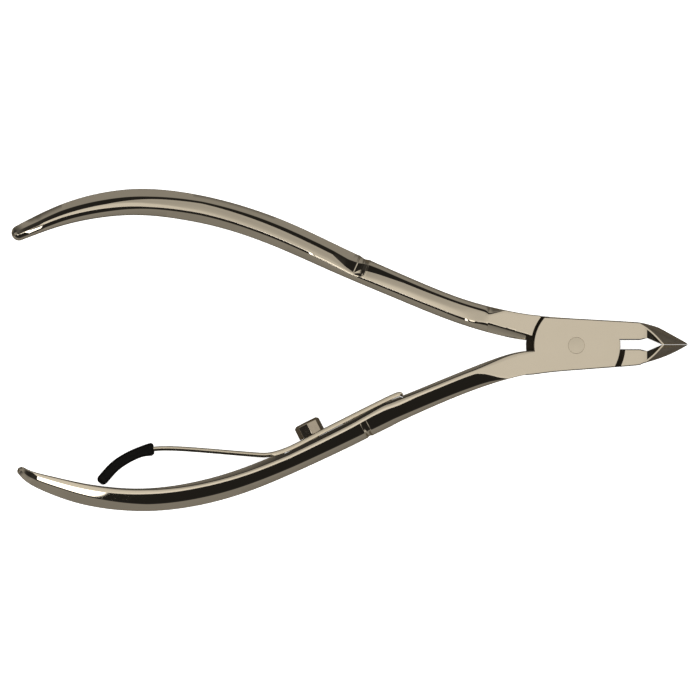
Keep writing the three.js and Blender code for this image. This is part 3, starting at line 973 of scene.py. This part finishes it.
# ---------------------------------------------------------------- materials
# Noise, as (cells per metre, detail).
CLOUDS = (220, 3)
POLISH = (900, 4)
RUBBER_CLOUDS = (700, 4)
RUBBER_POLISH = (2500, 3)
NOISE_RANGE = (0.3, 0.7)  # holds nearly all values of a noise
GROUND_GRAIN = {"noise": (5000, 2), "stretch": (0.3, 1, 1), "strength": 0.7, "depth": 0.02 * MM}
RUBBER_GRAIN = {"noise": (5000, 3), "stretch": (1, 1, 1), "strength": 0.25, "depth": 0.05 * MM}
RUBBER_DARK = (0.0015, 0.0014, 0.0012)
RUBBER_LIGHT = (0.004, 0.0036, 0.003)
RUBBER_ROUGH = (0.5, 0.7)
RUBBER_SHINE = 0.14


def new_material(name):
    """A material, with its node tree and shader."""
    material = bpy.data.materials.new(name)
    material.use_nodes = True
    return material, material.node_tree, material.node_tree.nodes["Principled BSDF"]


def noise(tree, scale, detail, stretch=(1, 1, 1)):
    """Noise in the object's own space."""
    place = tree.nodes.new("ShaderNodeTexCoord")
    mapping = tree.nodes.new("ShaderNodeMapping")
    mapping.inputs["Scale"].default_value = stretch
    texture = tree.nodes.new("ShaderNodeTexNoise")
    texture.inputs["Scale"].default_value = scale
    texture.inputs["Detail"].default_value = detail
    tree.links.new(place.outputs["Object"], mapping.inputs["Vector"])
    tree.links.new(mapping.outputs["Vector"], texture.inputs["Vector"])
    return texture.outputs["Fac"]


def ranged(tree, value, old, new=(0, 1), curve="LINEAR"):
    """Moves a value from an old range to a new one, and holds it there."""
    node = tree.nodes.new("ShaderNodeMapRange")
    node.interpolation_type = curve
    for name, limit in zip(("From Min", "From Max", "To Min", "To Max"), (*old, *new)):
        node.inputs[name].default_value = limit
    tree.links.new(value, node.inputs["Value"])
    return node.outputs["Result"]


def mix_colours(tree, share, first, second):
    """A blend of two colours, each of them fixed or the output of another node."""
    node = tree.nodes.new("ShaderNodeMix")
    node.data_type = "RGBA"
    tree.links.new(share, node.inputs["Factor"])
    for name, colour in (("A", first), ("B", second)):
        if isinstance(colour, tuple):
            node.inputs[name].default_value = (*colour, 1)
        else:
            tree.links.new(colour, node.inputs[name])
    return node.outputs["Result"]


def for_camera(tree, mirrored, seen):
    """One colour where metal mirrors a surface, and another where the camera sees it."""
    path = tree.nodes.new("ShaderNodeLightPath")
    return mix_colours(tree, path.outputs["Is Camera Ray"], mirrored, seen)


def surface(tree, shader, dark, light, clouds, rough, polish):
    """Faint clouds in a surface's tint and polish."""
    tint = mix_colours(tree, noise(tree, *clouds), dark, light)
    tree.links.new(tint, shader.inputs["Base Color"])
    roughness = ranged(tree, noise(tree, *polish), NOISE_RANGE, rough)
    tree.links.new(roughness, shader.inputs["Roughness"])


def add_grain(tree, shader, grain):
    """A fine relief."""
    node = tree.nodes.new("ShaderNodeBump")
    node.inputs["Strength"].default_value = grain["strength"]
    node.inputs["Distance"].default_value = grain["depth"]
    relief = noise(tree, *grain["noise"], grain["stretch"])
    tree.links.new(relief, node.inputs["Height"])
    tree.links.new(node.outputs["Normal"], shader.inputs["Normal"])


def metal(name, dark, light, rough, grain=None):
    """A plated, polished or ground metal."""
    material, tree, shader = new_material(name)
    shader.inputs["Metallic"].default_value = 1
    surface(tree, shader, dark, light, CLOUDS, rough, POLISH)
    if grain:
        add_grain(tree, shader, grain)
    return material


def rubber():
    """The dull black rubber of the sleeve."""
    material, tree, shader = new_material("sleeve_rubber")
    colours = (RUBBER_DARK, RUBBER_LIGHT)
    surface(tree, shader, *colours, RUBBER_CLOUDS, RUBBER_ROUGH, RUBBER_POLISH)
    shader.inputs["Specular IOR Level"].default_value = RUBBER_SHINE
    add_grain(tree, shader, RUBBER_GRAIN)
    return material


NICKEL = metal("polished_nickel", (0.78, 0.70, 0.56), (0.81, 0.73, 0.59), (0.03, 0.06))
GROUND = metal(
    "ground_bevel", (0.46, 0.42, 0.36), (0.56, 0.515, 0.44), (0.48, 0.56), GROUND_GRAIN
)
RIVET_METAL = metal("rivet_nickel", (0.72, 0.65, 0.52), (0.78, 0.70, 0.56), (0.08, 0.14))
SPRING_METAL = metal("spring_steel", (0.72, 0.64, 0.50), (0.78, 0.70, 0.55), (0.10, 0.18))
SCREW_METAL = metal("screw_nickel", (0.58, 0.51, 0.40), (0.66, 0.58, 0.46), (0.08, 0.14))
# Painted shade: near-black rough steel for the floors of the joint's recesses, so the narrow gaps
# between the plates read dark.
JOINT_PAINTED_SHADE = metal("joint_painted_shade", (0.02, 0.017, 0.013), (0.05, 0.042, 0.03), (0.35, 0.5))
RUBBER = rubber()

# ---------------------------------------------------------------- pieces
HALF_FINISHES = [NICKEL, GROUND, JOINT_PAINTED_SHADE]
# How the faces of the ground bevels, and of the recesses that take painted shade, are told from
# the others.
BEVEL_FACES = {"before_rim": 0.3, "past_rim": 0.02, "low": 0.5, "normal_z": (0.25, 0.97)}
RECESS_SHADE_FACES = {"radii": (7.2, 9.3), "off_lap": RELIEF + 0.1, "normal_z": 0.4}
# Each piece: what makes it, the node it replaces, the body it rides, its slot and its finishes.
PIECES = [
    (lower_half, "lower_half", "lower_half", "polished_nickel", HALF_FINISHES),
    (upper_half, "upper_half", "upper_half", "polished_nickel", HALF_FINISHES),
    (pivot_rivet, "pivot_rivet", "lower_half", "rivet_nickel", [RIVET_METAL]),
    (leaf_spring, "leaf_spring", "spring", "spring_steel", [SPRING_METAL]),
    (spring_sleeve, "spring_sleeve", "spring", "black_rubber", [RUBBER]),
    (spring_screw, "spring_screw", "screw", "screw_nickel", [SCREW_METAL]),
]


def finish_faces(piece):
    """The ground bevels take the second finish, and the floors of the recesses the third, a
    near-black painted shade.
    """
    rim_x, rim_y = np.array(JAW["rim"]).T
    low_z, high_z = BEVEL_FACES["normal_z"]
    near, far = RECESS_SHADE_FACES["radii"]
    for face in piece.data.polygons:
        x, y, z = face.center / MM
        outside = abs(y - CUT_Y) > np.interp(x, rim_x, rim_y) + BEVEL_FACES["past_rim"]
        on_jaw = x > rim_x[0] - BEVEL_FACES["before_rim"] and z > BEVEL_FACES["low"]
        if on_jaw and outside and low_z < face.normal.z < high_z:
            face.material_index = 1
        at_lap = abs(z - MID_Z) < RECESS_SHADE_FACES["off_lap"]
        level = abs(face.normal.z) > RECESS_SHADE_FACES["normal_z"]
        # the recess floors take the painted shade
        if near < math.hypot(x, y) < far and at_lap and level:
            face.material_index = 2


for make, node, body, slot, finishes in PIECES:
    piece = make()
    piece.data.materials.clear()
    for finish in finishes:
        piece.data.materials.append(finish)
    if finishes is HALF_FINISHES:
        finish_faces(piece)
    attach(piece, body)
    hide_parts(node)


# ---------------------------------------------------------------- studio
VIEW_WIDTH = 124.26 * MM
LENS = 350
SENSOR = 36
CLIP = (0.01, 10)
FLOOR_SIZE = 6.0
FLOOR_DROP = 0.00006  # the crowned undersides stand a little below the joint
FLOOR_DARK = (0.86, 0.86, 0.855)
FLOOR_LIGHT = (0.88, 0.88, 0.875)
FLOOR_PAINTED_SHADE = (0.05, 0.044, 0.035)  # painted shade: the floor as the metal mirrors it, made dark in place of the shade the work would cast
FLOOR_CLOUDS = (30, 2)
FLOOR_GLOW = 0.95
FLOOR_ROUGH = 0.9
FLOOR_SHINE = 0.1
FILL = {"height": 2.0, "size": 3.0, "power": 60, "tint": (1.0, 0.99, 0.97)}
# Brightness of the surroundings by angle from straight up: towards -Y and +Y, then -X and +X.
ROOM_ACROSS = [
    (-110, 0.2),
    (-88, 0.21),
    (-76, 0.29),
    (-64, 0.08),
    (-56, 0.02),
    (-17.2, 0.015),
    (-16.4, 1.7),
    (-14.6, 1.7),
    (-13.8, 0.95),
    (-5, 0.88),
    (0, 0.7),
    (4, 0.48),
    (10, 0.42),
    (15, 0.5),
    (18, 0.64),
    (21, 0.015),
    (40, 0.02),
    (52, 0.05),
    (64, 0.13),
    (76, 0.28),
    (84, 0.3),
    (89, 0.1),
    (110, 0.05),
]
ROOM_ALONG = [
    (-110, 0.28),
    (-76, 0.3),
    (-66, 0.1),
    (-61, 0.04),
    (-46, 0.03),
    (-32, 0.02),
    (-28, 0.8),
    (-12, 0.75),
    (0, 0.7),
    (18, 0.66),
    (31, 0.66),
    (35, 0.02),
    (45, 0.02),
    (48, 0.6),
    (61, 0.6),
    (66, 0.05),
    (76, 0.3),
    (90, 0.3),
    (110, 0.28),
]
LAMP = {"towards": (-16.5, -24), "radius": 6.8, "soft": 1.0, "level": 3.2}
ROOM_TINT = (1.0, 0.965, 0.91)
ROOM_SEEN = (0.9, 0.9, 0.89)  # the surroundings as the camera sees them
ROOM_LIMIT = 110  # the widest angle in the two lists
ROOM_BLEND = (0.35, 0.8)  # where the second list takes over, by how far a direction leans to X
NOT_ZERO = 1e-6


def room_ramp(tree, angle, stops):
    """Brightness by signed angle in degrees, as a colour ramp."""
    limit = math.radians(ROOM_LIMIT)
    ramp = tree.nodes.new("ShaderNodeValToRGB")
    elements = ramp.color_ramp.elements
    while len(elements) < len(stops):
        elements.new(0.5)
    for element, (degrees, level) in zip(elements, stops):
        element.position = (degrees + ROOM_LIMIT) / (2 * ROOM_LIMIT)
        element.color = (*(level * c for c in ROOM_TINT), 1)
    tree.links.new(ranged(tree, angle, (-limit, limit)), ramp.inputs["Fac"])
    return ramp.outputs["Color"]


def maths(tree, operation, a, b=None):
    """One step of arithmetic on numbers or outputs of other nodes."""
    node = tree.nodes.new("ShaderNodeMath")
    node.operation = operation
    for socket, value in zip(node.inputs, (a, b)):
        if isinstance(value, float):
            socket.default_value = value
        elif value is not None:
            tree.links.new(value, socket)
    return node.outputs["Value"]


def lamp_in_room(tree, direction, room):
    """Adds one small round lamp to the surroundings."""
    lean = Vector([math.radians(angle) for angle in LAMP["towards"]])
    flat = lean.normalized() * math.sin(lean.length)
    dot = tree.nodes.new("ShaderNodeVectorMath")
    dot.operation = "DOT_PRODUCT"
    dot.inputs[1].default_value = (flat.x, flat.y, math.cos(lean.length))
    tree.links.new(direction, dot.inputs[0])
    limits = [math.cos(math.radians(LAMP["radius"] + soft)) for soft in (LAMP["soft"], 0)]
    spot = ranged(tree, dot.outputs["Value"], limits)
    return mix_colours(tree, spot, room, (LAMP["level"],) * 3)


def studio_room():
    """Surroundings: a soft box overhead, dark beside it, and grey-brown walls."""
    world = bpy.data.worlds.new("studio")
    bpy.context.scene.world = world
    world.use_nodes = True
    tree = world.node_tree
    direction = tree.nodes.new("ShaderNodeTexCoord").outputs["Generated"]
    split = tree.nodes.new("ShaderNodeSeparateXYZ")
    tree.links.new(direction, split.inputs["Vector"])
    x, y, z = split.outputs
    tilt = maths(tree, "ARCCOSINE", z)
    across = maths(tree, "MULTIPLY", tilt, maths(tree, "SIGN", y))
    along = maths(tree, "MULTIPLY", tilt, maths(tree, "SIGN", x))
    xx = maths(tree, "MULTIPLY", x, x)
    yy = maths(tree, "MULTIPLY", y, y)
    both = maths(tree, "ADD", maths(tree, "ADD", xx, yy), NOT_ZERO)
    lean = maths(tree, "DIVIDE", xx, both)
    share = ranged(tree, lean, ROOM_BLEND, curve="SMOOTHSTEP")
    across_ramp = room_ramp(tree, across, ROOM_ACROSS)
    along_ramp = room_ramp(tree, along, ROOM_ALONG)
    room = mix_colours(tree, share, across_ramp, along_ramp)
    room = lamp_in_room(tree, direction, room)
    tree.links.new(for_camera(tree, room, ROOM_SEEN), tree.nodes["Background"].inputs["Color"])


def floor():
    """The pale panel that the nipper lies on."""
    half = FLOOR_SIZE / 2
    mesh = bpy.data.meshes.new("floor")
    corners = [(-half, -half, 0), (half, -half, 0), (half, half, 0), (-half, half, 0)]
    mesh.from_pydata(corners, [], [(0, 1, 2, 3)])
    piece = new_object("floor", mesh)
    piece.location.z = -FLOOR_DROP
    material, tree, shader = new_material("floor_panel")
    paper = mix_colours(tree, noise(tree, *FLOOR_CLOUDS), FLOOR_DARK, FLOOR_LIGHT)
    # Painted shade: every ray but the camera's sees the floor dark, so the metal mirrors it dark
    # while the camera sees it pale.
    colour = for_camera(tree, FLOOR_PAINTED_SHADE, paper)
    tree.links.new(colour, shader.inputs["Base Color"])
    tree.links.new(colour, shader.inputs["Emission Color"])
    shader.inputs["Emission Strength"].default_value = FLOOR_GLOW
    shader.inputs["Roughness"].default_value = FLOOR_ROUGH
    shader.inputs["Specular IOR Level"].default_value = FLOOR_SHINE
    mesh.materials.append(material)


def fill_light():
    """A large soft light from above that metal doesn't mirror."""
    data = bpy.data.lights.new("fill", "AREA")
    data.shape = "SQUARE"
    data.size = FILL["size"]
    data.energy = FILL["power"]
    data.color = FILL["tint"]
    light = new_object("fill", data)
    light.location.z = FILL["height"]
    light.visible_glossy = False
    light.visible_camera = False


def camera():
    """The camera, square above the middle of the nipper."""
    data = bpy.data.cameras.new("camera")
    data.lens = LENS
    data.sensor_width = SENSOR
    data.clip_start, data.clip_end = CLIP
    piece = new_object("camera", data)
    low, high = CAD_BOX
    centre = (low + high) / 2
    distance = VIEW_WIDTH * LENS / SENSOR
    piece.location = (centre.x, centre.y, MID_Z * MM + distance)
    bpy.context.scene.camera = piece


studio_room()
floor()
fill_light()
camera()
bpy.context.scene.view_settings.view_transform = "Standard"
